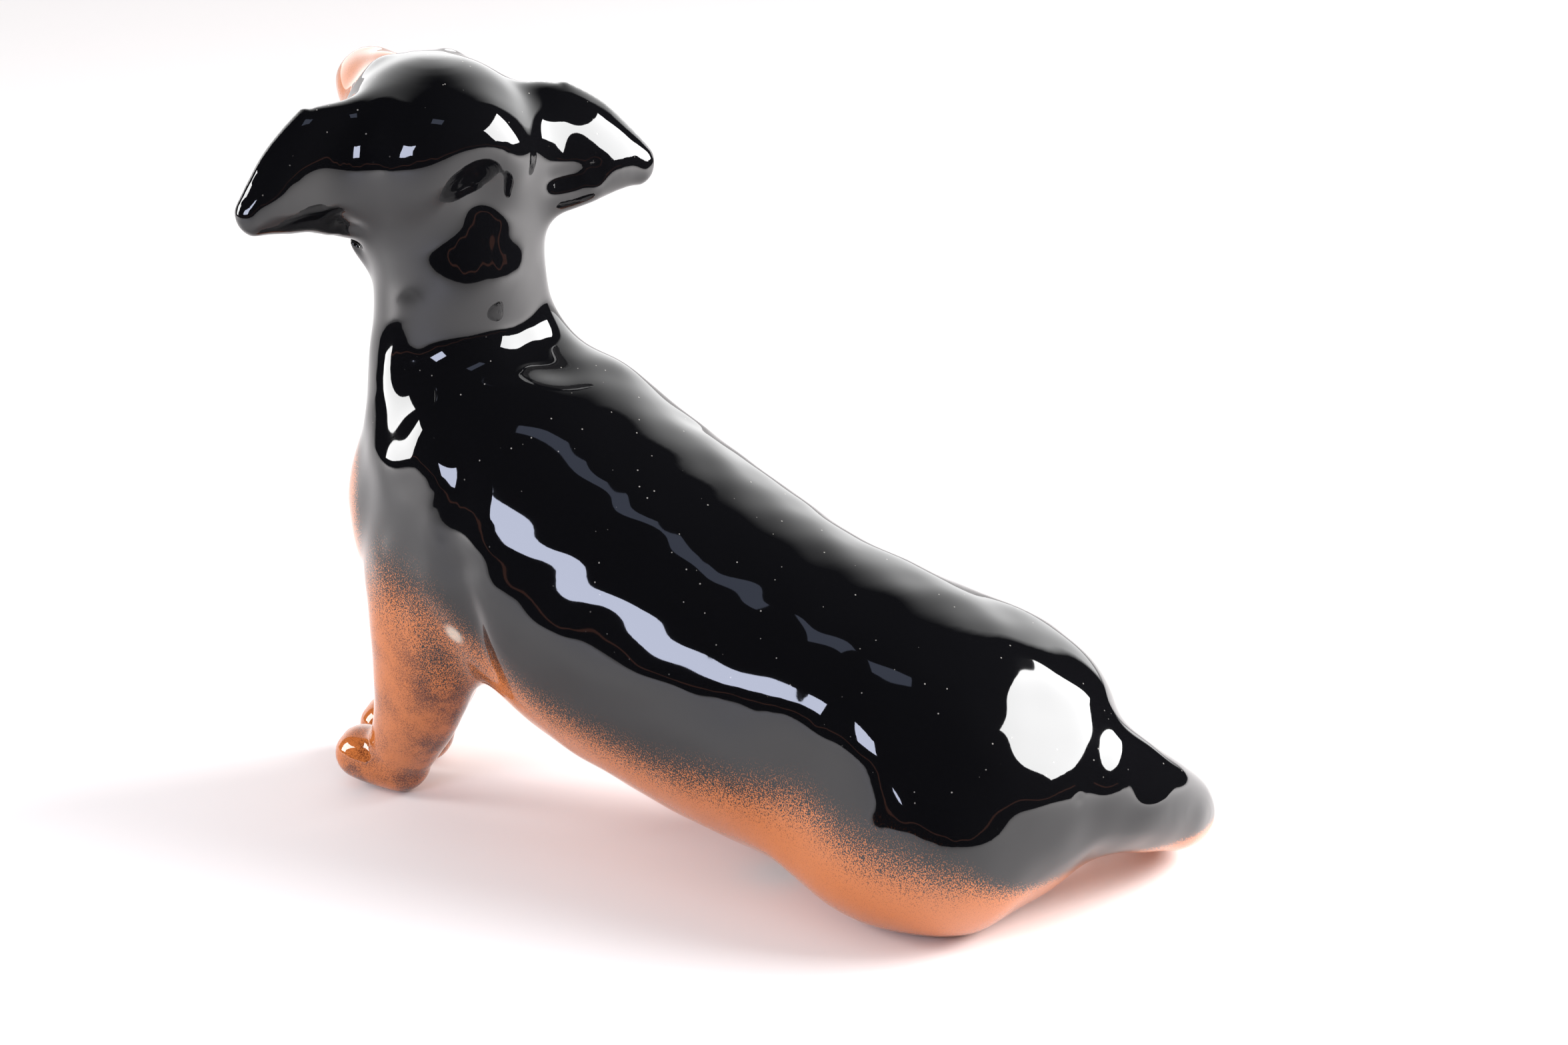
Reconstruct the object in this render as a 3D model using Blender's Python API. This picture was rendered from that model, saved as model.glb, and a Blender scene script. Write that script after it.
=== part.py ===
"""Seated ceramic dog figurine, as the castings it is stuck together from before firing.

Shapes are given in the dog's own frame, in millimetres: +X is the dog's left, +Y runs from
the head to the tail, +Z is up, and the surface that it stands on is Z = 0.
"""
import math

import bmesh
import bpy
from mathutils import Matrix, Vector

# Driving dimensions, in millimetres.
MM = 0.001
WALL = 3.0                    # thickness of the cast shell
GAP = 0.3                     # clearance between a casting and the slip on it
SLIP = 0.7                    # thickness of the slip that sticks two castings together
VENT_RADIUS = 3.2             # drain hole under the belly
VENT_AT = (5.0, 21.0)
SEAM_Z = 71.6                 # height of the seam between neck and head
CENTRING = (5.6, -7.15, 0.0)  # moves the dog's frame to the middle of its footprint
LEFTWARD = (1.0, 0.0, 0.0)
UPWARD = (0.0, 0.0, 1.0)

# Finishes: red, green, blue, roughness.
BLACK_GLAZE = (0.010, 0.010, 0.011, 0.06)
TAN_GLAZE = (0.46, 0.19, 0.06, 0.10)
BARE_SLIP = (0.80, 0.76, 0.70, 0.60)

# Sections of a body or limb: centre x, y, z, half width, half height.
TORSO = (
    (0.0, 47.0, 15.5, 16.8, 15.9),
    (0.0, 36.0, 17.7, 19.2, 18.4),
    (0.0, 21.0, 21.8, 19.2, 19.2),
    (0.0, 9.0, 25.8, 19.6, 19.8),
    (0.0, -2.0, 30.6, 19.8, 20.2),
    (0.0, -12.0, 37.6, 19.2, 19.2),
    (0.0, -20.0, 46.3, 17.2, 16.8),
    (0.0, -23.5, 55.0, 12.8, 12.8),
    (0.0, -24.6, 63.0, 10.4, 10.6),
    (0.0, -25.6, 73.0, 9.9, 10.0),
)
RUMP_ROUNDING = 13.0
CHEST = (
    (0.0, -21.6, 46.0, 13.2, 13.8),
    (0.0, -24.4, 37.0, 14.5, 15.0),
    (0.0, -25.2, 29.0, 12.5, 12.8),
)
CHEST_ROUNDING = (8.0, 9.0)
HAUNCH_LEFT = (
    (7.5, 47.5, 11.1, 11.6, 11.3),
    (8.2, 38.0, 11.6, 12.1, 11.9),
    (7.6, 29.0, 12.9, 9.8, 9.8),
)
HAUNCH_RIGHT = (
    (-7.5, 49.0, 19.0, 10.0, 11.0),
    (-8.0, 41.0, 21.0, 11.0, 12.4),
    (-7.5, 31.0, 22.0, 9.5, 10.5),
)
HAUNCH_ROUNDING = (8.0, 7.0)

HEAD_AT = (0.5, -27.5, 81.2)  # middle of the skull
HEAD_TURN = 42.0              # degrees to the dog's right
HEAD_PITCH = 3.0              # degrees that the muzzle is raised
SKULL = (                     # in the head's frame, from the nape to the nose
    (0.0, 6.0, 0.0, 9.6, 8.2),
    (0.0, 0.0, 0.6, 10.8, 9.2),
    (0.0, -7.0, 0.6, 10.0, 8.4),
    (0.0, -13.0, -1.2, 7.4, 6.6),
    (0.0, -20.0, -2.6, 5.6, 4.9),
    (0.0, -26.5, -3.0, 4.9, 4.3),
)
SKULL_ROUNDING = (7.0, 4.0)
THROAT = (
    (0.0, -25.4, 70.0, 9.9, 10.0),
    (0.0, -26.2, 76.5, 9.7, 9.8),
    (0.4, -27.4, 81.2, 8.8, 8.8),
)
EAR = (                       # left ear in the head's frame, from root to tip
    (8.4, 1.6, 0.0, 2.8, 7.2),
    (12.0, 2.6, -1.2, 2.7, 7.2),
    (17.2, 4.2, -3.8, 2.4, 5.4),
    (22.2, 5.6, -6.8, 1.9, 2.9),
)
EAR_ROUNDING = (0.0, 2.6)

FORELEG_LEFT = (
    (12.0, -21.5, 31.0, 6.2, 8.4),
    (11.2, -24.6, 23.0, 5.3, 6.4),
    (8.6, -29.4, 13.5, 4.4, 4.3),
    (6.6, -32.2, 5.0, 3.9, 3.5),
)
FORELEG_RIGHT = (
    (-11.5, -23.0, 31.0, 6.2, 8.0),
    (-9.8, -27.0, 23.0, 5.0, 6.0),
    (-4.6, -32.0, 13.5, 4.2, 4.2),
    (-1.9, -34.6, 5.0, 3.8, 3.4),
)
LEG_ROUNDING = (3.0, 3.0)
PAW_LENGTH = 7.4
PAW_HALF_WIDTH = 4.1
PAW_HALF_HEIGHT = 3.3
SOLE_SINK = 0.4               # depth of paw that is ground off flat

HIND_LEG_LEFT = (
    (4.0, 30.0, 8.0, 7.0, 8.0),
    (-8.0, 22.0, 6.2, 6.0, 7.0),
    (-18.0, 17.0, 4.7, 4.5, 4.8),
    (-26.0, 14.0, 3.5, 4.0, 4.2),
)
HIND_LEG_RIGHT = (
    (-14.0, 42.0, 17.0, 10.0, 10.5),
    (-20.0, 35.0, 13.5, 8.0, 8.6),
    (-25.0, 32.0, 8.0, 5.6, 6.0),
    (-30.0, 27.0, 3.8, 4.2, 4.4),
)
HIND_ROUNDING = (4.0, 4.0)

TAIL = (
    (-1.0, 52.0, 13.5, 9.0, 9.0),
    (-5.0, 57.0, 12.0, 6.6, 6.8),
    (-11.0, 60.2, 10.4, 5.0, 5.4),
    (-18.0, 61.3, 9.0, 4.3, 4.5),
    (-25.0, 59.0, 7.6, 3.7, 3.8),
    (-30.0, 54.0, 6.6, 3.0, 3.0),
)
TAIL_ROUNDING = (2.0, 3.4)

CAP_STEPS = 4                 # rings that round off an end
SMOOTH_ANGLE = math.radians(40)


def finish_material(name, red, green, blue, roughness):
    """A fired finish of one colour."""
    material = bpy.data.materials.new(name)
    material.use_nodes = True
    shader = material.node_tree.nodes["Principled BSDF"]
    shader.inputs["Base Color"].default_value = (red, green, blue, 1.0)
    shader.inputs["Roughness"].default_value = roughness
    shader.inputs["Metallic"].default_value = 0.0
    material.diffuse_color = (red, green, blue, 1.0)
    return material


def between(stations, t):
    """One section on the smooth curve through the stations, for t from 0 to 1."""
    span = t * (len(stations) - 1)
    k = min(int(span), len(stations) - 2)
    f = span - k
    start, end = stations[k], stations[k + 1]
    before = stations[max(k - 1, 0)]
    after = stations[min(k + 2, len(stations) - 1)]
    section = []
    for p0, p1, p2, p3 in zip(before, start, end, after):
        slope_start, slope_end = (p2 - p0) / 2, (p3 - p1) / 2
        held = (2 * f ** 3 - 3 * f ** 2 + 1) * p1 + (3 * f ** 2 - 2 * f ** 3) * p2
        led = (f ** 3 - 2 * f ** 2 + f) * slope_start + (f ** 3 - f ** 2) * slope_end
        section.append(held + led)
    return section


def rounded_end(section, way, length):
    """Shrinking sections that round off one end, and the pole they close on."""
    centre, run, wide, high = section
    caps = []
    for k in range(1, CAP_STEPS):
        angle = math.pi / 2 * k / CAP_STEPS
        at = centre + run * way * length * math.sin(angle)
        caps.append((at, run, wide * math.cos(angle), high * math.cos(angle)))
    return caps, centre + run * way * length


def loft(name, stations, rings, sides, rounding=(0.0, 0.0), swell=0.0, across=LEFTWARD):
    """Closed skin over the stations. An end with no rounding is cut off flat."""
    rows = [between(stations, i / (rings - 1)) for i in range(rings)]
    centres = [Vector(row[:3]) for row in rows]
    profile = []
    for i, row in enumerate(rows):
        run = (centres[min(i + 1, rings - 1)] - centres[max(i - 1, 0)]).normalized()
        profile.append((centres[i], run, row[3] + swell, row[4] + swell))
    poles = [None, None]
    if rounding[0]:
        caps, poles[0] = rounded_end(profile[0], -1, rounding[0] + swell)
        profile = caps[::-1] + profile
    if rounding[1]:
        caps, poles[1] = rounded_end(profile[-1], 1, rounding[1] + swell)
        profile = profile + caps
    mesh = bmesh.new()
    circle = [2 * math.pi * k / sides for k in range(sides)]
    rows = []
    for centre, run, wide, high in profile:
        side = (Vector(across) - run * run.dot(Vector(across))).normalized()
        up = side.cross(run)
        edge = [centre + side * wide * math.cos(a) + up * high * math.sin(a) for a in circle]
        rows.append([mesh.verts.new(point * MM) for point in edge])
    for near, far in zip(rows, rows[1:]):
        for k in range(sides):
            mesh.faces.new((near[k - 1], near[k], far[k], far[k - 1]))
    for row, pole in ((rows[0], poles[0]), (rows[-1], poles[1])):
        if pole is None:
            mesh.faces.new(row)
            continue
        tip = mesh.verts.new(pole * MM)
        for k in range(sides):
            mesh.faces.new((row[k - 1], row[k], tip))
    return as_object(name, mesh)


def as_object(name, mesh):
    """Turns a bmesh into an object with its faces pointing out."""
    bmesh.ops.recalc_face_normals(mesh, faces=mesh.faces)
    data = bpy.data.meshes.new(name)
    mesh.to_mesh(data)
    mesh.free()
    thing = bpy.data.objects.new(name, data)
    bpy.context.scene.collection.objects.link(thing)
    return thing


def block(name, low, high):
    """A plain block between two corners, used only to cut with."""
    mesh = bmesh.new()
    bmesh.ops.create_cube(mesh, size=1.0)
    low, high = Vector(low), Vector(high)
    for vert in mesh.verts:
        corner = [high[i] if vert.co[i] > 0 else low[i] for i in range(3)]
        vert.co = Vector(corner) * MM
    return as_object(name, mesh)


def carve(target, operation, *tools):
    """Cuts or joins the target with each tool in turn, and removes the tools."""
    for tool in tools:
        step = target.modifiers.new(operation, "BOOLEAN")
        step.operation = operation
        step.object = tool
    graph = bpy.context.evaluated_depsgraph_get()
    shaped = bpy.data.meshes.new_from_object(target.evaluated_get(graph))
    target.modifiers.clear()
    target.data = shaped
    for tool in tools:
        bpy.data.objects.remove(tool)
    return target


def floor_block():
    """Everything below the surface that the dog stands on."""
    return block("floor_cut", (-90, -90, -30), (90, 110, 0))


def neck_block(low, high):
    """Level slice across the neck, between two heights."""
    return block("neck_cut", (-60, -80, low), (60, 30, high))


def head_frame():
    """The head's own frame, in which -Y is the way that the muzzle points."""
    turn = Matrix.Rotation(math.radians(-HEAD_TURN), 4, "Z")
    pitch = Matrix.Rotation(math.radians(-HEAD_PITCH), 4, "X")
    return Matrix.Translation(Vector(HEAD_AT) * MM) @ turn @ pitch


def torso_form(name, swell=0.0):
    """Outside of the body, chest, haunches and neck."""
    body = loft(name, TORSO, 22, 28, (RUMP_ROUNDING, 0.0), swell)
    chest = loft("chest", CHEST, 6, 24, CHEST_ROUNDING, swell)
    left = loft("haunch_left", HAUNCH_LEFT, 6, 24, HAUNCH_ROUNDING, swell)
    right = loft("haunch_right", HAUNCH_RIGHT, 6, 24, HAUNCH_ROUNDING, swell)
    return carve(body, "UNION", chest, left, right)


def head_form(name, swell=0.0):
    """Outside of the skull, muzzle and top of the neck."""
    skull = loft(name, SKULL, 16, 24, SKULL_ROUNDING, swell)
    skull.data.transform(head_frame())
    return carve(skull, "UNION", loft("throat", THROAT, 5, 24, swell=swell))


def hollow_form():
    """The drained inside of body, neck and head, one wall in from the outside."""
    body = loft("hollow", TORSO, 22, 24, (RUMP_ROUNDING, 0.0), -WALL)
    skull = loft("hollow_skull", SKULL[:4], 8, 20, (5.0, 3.0), -WALL)
    skull.data.transform(head_frame())
    return carve(body, "UNION", loft("hollow_throat", THROAT, 6, 20, swell=-WALL), skull)


def build_torso():
    vent_x, vent_y = VENT_AT
    ends = [(vent_x, vent_y, z, VENT_RADIUS, VENT_RADIUS) for z in (-5.0, 12.0)]
    vent = loft("vent", ends, 2, 16)
    neck_top = neck_block(SEAM_Z - SLIP / 2 - GAP, 120)
    torso = torso_form("torso_casting")
    return carve(torso, "DIFFERENCE", floor_block(), neck_top, hollow_form(), vent)


def build_head():
    head = head_form("head_casting")
    return carve(head, "DIFFERENCE", neck_block(20, SEAM_Z + SLIP / 2 + GAP), hollow_form())


def build_neck_slip():
    ring = loft("slip_neck", TORSO[-3:], 8, 28)
    carve(ring, "INTERSECT", neck_block(SEAM_Z - SLIP / 2, SEAM_Z + SLIP / 2))
    return carve(ring, "DIFFERENCE", hollow_form())


def ear_form(name, side):
    """One ear leaf, hanging out and down from the side of the skull."""
    stations = [(side * out, back, up, thick, deep) for out, back, up, thick, deep in EAR]
    ear = loft(name, stations, 9, 20, EAR_ROUNDING, across=(0.0, 1.0, 0.0))
    ear.data.transform(head_frame())
    return ear


def foreleg_form(name, stations):
    """A straight foreleg with its rounded paw."""
    x, y = stations[-1][:2]
    wide, high = PAW_HALF_WIDTH, PAW_HALF_HEIGHT
    middle = high - SOLE_SINK
    paw = (
        (x, y + 1.0, middle, wide * 0.9, high),
        (x, y - PAW_LENGTH * 0.4, middle, wide, high * 1.05),
        (x, y - PAW_LENGTH * 0.7, middle, wide * 0.95, high),
    )
    leg = loft(name, stations, 10, 20, LEG_ROUNDING)
    return carve(leg, "UNION", loft("paw", paw, 5, 20, (3.0, 3.0)))


def hind_leg_form(name, stations):
    return loft(name, stations, 12, 20, HIND_ROUNDING, across=UPWARD)


def tail_form(name):
    return loft(name, TAIL, 14, 20, TAIL_ROUNDING, across=UPWARD)


def stick_on(name, form, seat):
    """A limb and the slip under it, both shaped to the casting that they sit on."""
    limb = carve(form(name), "DIFFERENCE", seat("seat", 2 * GAP + SLIP), floor_block())
    slip = carve(form("slip_" + name), "INTERSECT", seat("seat", GAP + SLIP))
    return limb, carve(slip, "DIFFERENCE", seat("seat", GAP))


def place(thing, material, holder):
    """Gives a piece its finish, and its origin at the middle of its own box."""
    corners = [Vector(corner) for corner in thing.bound_box]
    middle = sum(corners, Vector()) / len(corners)
    thing.data.transform(Matrix.Translation(-middle))
    thing.location = middle
    thing.parent = holder
    thing.data.materials.clear()
    thing.data.materials.append(material)
    thing.data.shade_smooth()
    thing.data.set_sharp_from_angle(angle=SMOOTH_ANGLE)


def main():
    for thing in list(bpy.data.objects):
        bpy.data.objects.remove(thing)
    black = finish_material("black_glaze", *BLACK_GLAZE)
    tan = finish_material("tan_glaze", *TAN_GLAZE)
    bare = finish_material("bare_slip", *BARE_SLIP)

    pieces = [(build_torso(), black), (build_head(), black), (build_neck_slip(), bare)]
    limbs = [("tail", tail_form, torso_form, black)]
    for side, way in (("left", 1), ("right", -1)):
        limbs.append(("ear_" + side, lambda name, way=way: ear_form(name, way), head_form, black))
    for side, legs in (("left", (FORELEG_LEFT, HIND_LEG_LEFT)), ("right", (FORELEG_RIGHT, HIND_LEG_RIGHT))):
        fore, hind = legs
        limbs.append(("foreleg_" + side, lambda name, leg=fore: foreleg_form(name, leg), torso_form, tan))
        limbs.append(("hind_leg_" + side, lambda name, leg=hind: hind_leg_form(name, leg), torso_form, tan))
    for name, form, seat, material in limbs:
        limb, slip = stick_on(name, form, seat)
        pieces += [(limb, material), (slip, bare)]

    holder = bpy.data.objects.new("figurine", None)
    bpy.context.scene.collection.objects.link(holder)
    holder.location = Vector(CENTRING) * MM
    for thing, material in pieces:
        place(thing, material, holder)


main()
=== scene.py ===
# Seated ceramic dog: the glazed and airbrushed surface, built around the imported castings.
import math

import bmesh
import bpy
import numpy as np
from mathutils import Matrix, Vector


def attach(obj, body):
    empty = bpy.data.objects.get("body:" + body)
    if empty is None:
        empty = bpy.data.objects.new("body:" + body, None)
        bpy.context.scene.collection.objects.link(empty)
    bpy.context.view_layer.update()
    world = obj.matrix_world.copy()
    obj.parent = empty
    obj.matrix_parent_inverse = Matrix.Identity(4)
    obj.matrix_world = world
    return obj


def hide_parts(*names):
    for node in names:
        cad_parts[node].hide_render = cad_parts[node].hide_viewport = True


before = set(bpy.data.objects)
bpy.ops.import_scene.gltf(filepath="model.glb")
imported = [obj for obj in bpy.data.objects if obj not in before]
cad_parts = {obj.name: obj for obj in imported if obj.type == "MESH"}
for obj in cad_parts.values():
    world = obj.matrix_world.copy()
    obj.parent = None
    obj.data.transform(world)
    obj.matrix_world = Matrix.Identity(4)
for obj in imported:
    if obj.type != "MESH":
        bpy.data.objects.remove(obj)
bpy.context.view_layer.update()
mm = 0.001
centring = np.array((5.6, -7.15, 0.0))   # the dog's own frame sits here in the model, in mm
leftward = (1.0, 0.0, 0.0)
upward = (0.0, 0.0, 1.0)
print("frame loaded:", len(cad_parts), "castings and slip joints")


cameraSet = {
    "lens": 100.0,                  # mm, on a 36 mm sensor
    "distance": 544.4,              # mm from the lens to the point it aims at
    "elevation": 20.0,              # degrees above level
    "heading": 30.0,                # degrees from the picture's left to the dog's heading
    "aim": (-33.454, 0.0, 28.0),    # mm, in the dog's frame
}


def placeCamera(setUp):
    rise, turn = math.radians(setUp["elevation"]), math.radians(setUp["heading"])
    level = Vector((-math.cos(turn), -math.sin(turn), 0.0))
    look = level * math.cos(rise) - Vector(upward) * math.sin(rise)
    aim = Vector(setUp["aim"]) + Vector(centring)
    data = bpy.data.cameras.new("studioCamera")
    data.lens = setUp["lens"]
    data.clip_start, data.clip_end = 0.01, 20.0
    camera = bpy.data.objects.new("studioCamera", data)
    camera.location = (aim - look * setUp["distance"]) * mm
    camera.rotation_euler = look.to_track_quat("-Z", "Y").to_euler()
    bpy.context.scene.collection.objects.link(camera)
    bpy.context.scene.camera = camera


placeCamera(cameraSet)


def between(stations, t):
    # one section on the smooth curve through the stations, t from 0 to 1
    span = t * (len(stations) - 1)
    k = min(int(span), len(stations) - 2)
    f = span - k
    start, end = np.array(stations[k], float), np.array(stations[k + 1], float)
    before = np.array(stations[max(k - 1, 0)], float)
    after = np.array(stations[min(k + 2, len(stations) - 1)], float)
    held = (2 * f ** 3 - 3 * f ** 2 + 1) * start + (3 * f ** 2 - 2 * f ** 3) * end
    led = (f ** 3 - 2 * f ** 2 + f) * (end - before) / 2 + (f ** 3 - f ** 2) * (after - start) / 2
    return held + led


def loft(stations, rounding=(0.0, 0.0), across=leftward, rings=40, sides=48, swell=0.0):
    # closed bmesh skin over sections of centre x, y, z, half width and half height, all in mm
    rows = [between(stations, i / (rings - 1)) for i in range(rings)]
    profile = []
    for i, row in enumerate(rows):
        run = Vector(rows[min(i + 1, rings - 1)][:3] - rows[max(i - 1, 0)][:3]).normalized()
        profile.append((Vector(row[:3]), run, row[3] + swell, row[4] + swell))
    capSteps = 8
    caps = []
    for end, way, length in ((profile[0], -1, rounding[0]), (profile[-1], 1, rounding[1])):
        centre, run, wide, high = end
        cap = []
        for k in range(1, capSteps + 1):
            angle = math.pi / 2 * k / (capSteps + 0.35)
            at = centre + run * way * max(length + swell, 0.01) * math.sin(angle)
            cap.append((at, run, wide * math.cos(angle), high * math.cos(angle)))
        caps.append(cap)
    profile = caps[0][::-1] + profile + caps[1]
    mesh = bmesh.new()
    circle = [2 * math.pi * k / sides for k in range(sides)]
    loops = []
    for centre, run, wide, high in profile:
        side = (Vector(across) - run * run.dot(Vector(across))).normalized()
        up = side.cross(run)
        edge = [centre + side * wide * math.cos(a) + up * high * math.sin(a) for a in circle]
        loops.append([mesh.verts.new(point) for point in edge])
    for near, far in zip(loops, loops[1:]):
        for k in range(sides):
            mesh.faces.new((near[k - 1], near[k], far[k], far[k - 1]))
    mesh.faces.new(loops[0])
    mesh.faces.new(loops[-1])
    bmesh.ops.recalc_face_normals(mesh, faces=mesh.faces)
    return mesh


def meshObject(name, *forms):
    # joins bmesh forms, given in mm in the dog's frame, into one object in the model's frame
    joined = bmesh.new()
    for form in forms:
        part = bpy.data.meshes.new("part")
        form.to_mesh(part)
        form.free()
        joined.from_mesh(part)
        bpy.data.meshes.remove(part)
    joined.transform(Matrix.Scale(mm, 4) @ Matrix.Translation(Vector(centring)))
    data = bpy.data.meshes.new(name)
    joined.to_mesh(data)
    joined.free()
    thing = bpy.data.objects.new(name, data)
    bpy.context.scene.collection.objects.link(thing)
    return thing


def settle(thing):
    # applies the modifiers that are on a piece
    graph = bpy.context.evaluated_depsgraph_get()
    shaped = bpy.data.meshes.new_from_object(thing.evaluated_get(graph))
    thing.modifiers.clear()
    old = thing.data
    thing.data = shaped
    shaped.name = thing.name
    bpy.data.meshes.remove(old)
    return thing


def voxelSkin(thing, size):
    # one closed skin over overlapping forms
    remesh = thing.modifiers.new("skin", "REMESH")
    remesh.mode = "VOXEL"
    remesh.voxel_size = size * mm
    return settle(thing)


def soften(thing, passes):
    smooth = thing.modifiers.new("soften", "SMOOTH")
    smooth.factor = 0.5
    smooth.iterations = passes
    return settle(thing)


def points(thing):
    # vertex positions in mm in the dog's frame
    flat = np.zeros(len(thing.data.vertices) * 3, np.float32)
    thing.data.vertices.foreach_get("co", flat)
    return flat.reshape(-1, 3).astype(float) / mm - centring


def outward(thing):
    flat = np.zeros(len(thing.data.vertices) * 3, np.float32)
    thing.data.vertices.foreach_get("normal", flat)
    return flat.reshape(-1, 3).astype(float)


def setPoints(thing, spots):
    thing.data.vertices.foreach_set("co", ((spots + centring) * mm).astype(np.float32).ravel())
    thing.data.update()


def strokeDistance(spots, path):
    # distance in mm from every spot to a path of points
    path = [np.array(p, float) for p in path]
    best = np.full(len(spots), 1e9)
    if len(path) == 1:
        return np.linalg.norm(spots - path[0], axis=1)
    for a, b in zip(path, path[1:]):
        run = b - a
        along = np.clip((spots - a) @ run / (run @ run), 0, 1)
        best = np.minimum(best, np.linalg.norm(spots - a - along[:, None] * run, axis=1))
    return best


def ease(value, low, high):
    t = np.clip((value - low) / (high - low), 0, 1)
    return t * t * (3 - 2 * t)


def sculpt(thing, strokes):
    # raises or presses the surface along strokes: path, width in mm, height in mm
    for path, width, height in strokes:
        spots = points(thing)
        rise = height * np.exp(-(strokeDistance(spots, path) / width) ** 2)
        setPoints(thing, spots + outward(thing) * rise[:, None])
    return thing


def laidOn(thing, path):
    # the same path on the nearest points of the surface
    spots = points(thing)
    return [tuple(spots[((spots - np.array(spot)) ** 2).sum(1).argmin()]) for spot in path]


def flatten(thing, spot, facing, width, share):
    # draws the surface round a spot towards a plane through it
    spots = points(thing)
    facing = np.array(facing) / np.linalg.norm(facing)
    reach = spots - np.array(spot)
    off = reach @ facing
    near = np.exp(-((reach ** 2).sum(1) - off ** 2) / width ** 2) * ease(outward(thing) @ facing, 0.1, 0.5)
    setPoints(thing, spots - np.outer(off * near * share, facing))


def ripple(thing, height, length, seed=4):
    # slight unevenness of poured glaze, as a sum of waves in chance directions
    chance = np.random.default_rng(seed)
    spots = points(thing)
    total = np.zeros(len(spots))
    for _ in range(14):
        way = chance.normal(size=3)
        way *= 2 * math.pi / (np.linalg.norm(way) * length * chance.uniform(0.7, 1.6))
        total += np.sin(spots @ way + chance.uniform(0, 6.28))
    setPoints(thing, spots + outward(thing) * (total * height / 14 ** 0.5)[:, None])


# body, in the dog's frame: x to its left, y to its tail, z up
body = {
    "torso": (
        (-0.9, 47.0, 15.5, 15.7, 15.9),
        (-1.3, 36.0, 17.7, 17.7, 18.4),
        (0.0, 21.0, 21.8, 19.2, 19.2),
        (0.0, 9.0, 25.8, 19.6, 19.8),
        (0.0, -2.0, 30.6, 19.8, 20.2),
        (0.0, -12.0, 37.6, 19.2, 19.2),
        (0.0, -20.0, 46.3, 17.2, 16.8),
        (0.0, -24.0, 55.0, 12.8, 12.2),
        (0.0, -24.9, 63.0, 10.4, 10.2),
        (0.0, -25.8, 76.0, 9.9, 10.0),
    ),
    "torsoRounding": (13.0, 2.0),
    "chest": (
        (0.0, -21.6, 46.0, 13.2, 13.8),
        (0.0, -24.4, 37.0, 14.5, 15.0),
        (0.0, -25.2, 29.0, 12.5, 12.8),
    ),
    "chestRounding": (8.0, 9.0),
    "haunchLeft": (
        (7.5, 47.5, 11.1, 11.6, 11.3),
        (8.2, 38.0, 11.6, 12.1, 11.9),
        (7.6, 29.0, 12.9, 9.8, 9.8),
    ),
    "haunchRight": (
        (-7.5, 49.0, 19.0, 10.0, 11.0),
        (-8.0, 41.0, 21.0, 11.0, 12.4),
        (-7.5, 31.0, 22.0, 9.5, 10.5),
    ),
    "haunchRounding": (8.0, 7.0),
}

# head, in its own frame: x left, y to the nape, z up
head = {
    "at": (0.5, -27.5, 81.2),
    "turn": 42.0,                  # degrees to the dog's right
    "pitch": 3.0,                  # degrees that the muzzle is raised
    "skull": (
        (0.0, 6.0, -0.2, 9.8, 8.4),
        (0.0, 0.0, 0.6, 10.8, 9.4),
        (0.3, -7.0, 0.8, 9.4, 8.2),
        (1.0, -13.0, 0.2, 7.0, 6.4),
        (1.9, -19.0, 0.5, 5.2, 4.9),
        (2.2, -24.0, 0.6, 4.6, 4.3),
    ),
    "skullRounding": (7.0, 3.6),
    "poll": (                      # from ear to ear behind the skull
        (-11.0, 1.6, -2.6, 3.2, 5.6),
        (-6.5, 3.6, -1.6, 5.0, 6.4),
        (0.0, 5.0, -0.8, 6.4, 7.6),
        (6.5, 3.6, -1.8, 5.0, 6.4),
        (11.0, 1.6, -3.0, 3.2, 5.8),
    ),
    "throat": (
        (0.0, -25.2, 68.0, 9.7, 9.9),
        (0.2, -26.4, 74.0, 9.6, 9.8),
        (0.4, -27.6, 80.0, 9.8, 10.2),
        (0.5, -27.8, 85.0, 8.0, 8.4),
    ),
}

ears = {                           # in the head's frame, root to tip
    "left": (
        (7.0, 0.5, -2.4, 3.2, 8.0),
        (10.5, 1.4, -2.0, 3.1, 8.6),
        (14.0, 2.5, -1.6, 2.9, 8.5),
        (17.6, 3.7, -2.7, 2.5, 6.5),
        (21.2, 4.9, -4.3, 2.1, 4.2),
        (23.4, 5.5, -5.4, 1.8, 2.6),
    ),
    "leftAcross": (0.0, 1.0, 0.0),
    "right": (
        (-7.0, 0.5, -2.4, 3.2, 8.0),
        (-10.8, 1.2, -1.6, 3.1, 8.4),
        (-14.6, 1.4, -1.3, 2.9, 8.3),
        (-18.6, 1.3, -2.2, 2.5, 6.6),
        (-22.4, 1.0, -3.6, 2.1, 4.2),
        (-24.6, 0.8, -4.6, 1.8, 2.7),
    ),
    "rightAcross": (0.0, 0.87, 0.5),
    "rounding": (1.0, 1.9),
}

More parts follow.
